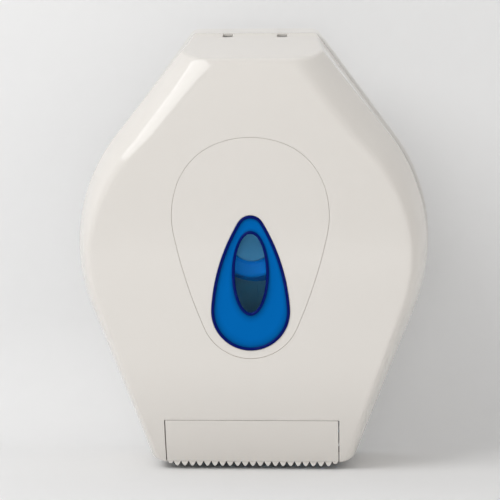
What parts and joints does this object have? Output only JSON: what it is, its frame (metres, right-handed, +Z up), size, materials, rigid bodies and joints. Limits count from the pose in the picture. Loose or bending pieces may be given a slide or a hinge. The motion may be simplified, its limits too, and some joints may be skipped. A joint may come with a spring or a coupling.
{
  "type": "jumbo toilet roll dispenser",
  "caption": "Wall-hung white plastic jumbo toilet roll dispenser with a hinged cover, blue teardrop sight window, toothed tear edge, turning hub and sprung key latch.",
  "frame": {"origin": "centre of the wall-screw pattern, on the wall face of the back plate", "axes": "+Z up, -Y out of the wall towards the user, +X to the user's right"},
  "size_m": [0.3472, 0.1312, 0.4276],
  "materials": {
    "plate_white": "off-white moulded plastic",
    "spindle_white": "off-white moulded plastic",
    "steel": "plated steel",
    "cap_grey": "pale grey moulded plastic",
    "hub_blue": "blue moulded plastic",
    "latch_grey": "pale grey moulded plastic",
    "casing_white": "smooth off-white moulded plastic",
    "retainer_white": "off-white moulded plastic",
    "window_blue": "translucent blue plastic, finely frosted, with a clear ellipse"
  },
  "bodies": {
    "base": {"back_plate": "plate_white", "spindle": "spindle_white", "spindle_screws": "steel", "thrust_washer": "steel", "spindle_cap": "cap_grey", "cap_screw": "steel", "latch_housing": "spindle_white", "latch_screws": "steel", "latch_spring_left": "steel", "latch_spring_right": "steel", "hinge_pin_left": "steel", "hinge_pin_right": "steel"},
    "hub": {"core_hub": "hub_blue", "hub_cap": "hub_blue"},
    "latch": {"latch_slide": "latch_grey"},
    "cover": {"cover_shell": "casing_white", "front_panel": "casing_white", "panel_retainer": "retainer_white", "retainer_screws": "steel", "sight_window": "window_blue", "tear_insert": "casing_white", "insert_screws": "steel"}
  },
  "joints": [
    {"name": "hub_spin", "type": "hinge", "parent": "base", "child": "hub", "pos_m": [0, -0.055, 0.005], "axis": [0, -1, 0], "continuous": true},
    {"name": "latch_press", "type": "slide", "parent": "base", "child": "latch", "axis": [0, 0, 1], "range_m": [-0.004, 0], "stiffness_N_per_m": 600, "springref_m": 0.005, "deforming": ["latch_spring_left", "latch_spring_right"]},
    {"name": "cover_hinge", "type": "hinge", "parent": "base", "child": "cover", "pos_m": [0, -0.0145, -0.205], "axis": [1, 0, 0], "range_deg": [0, 90]}
  ]
}
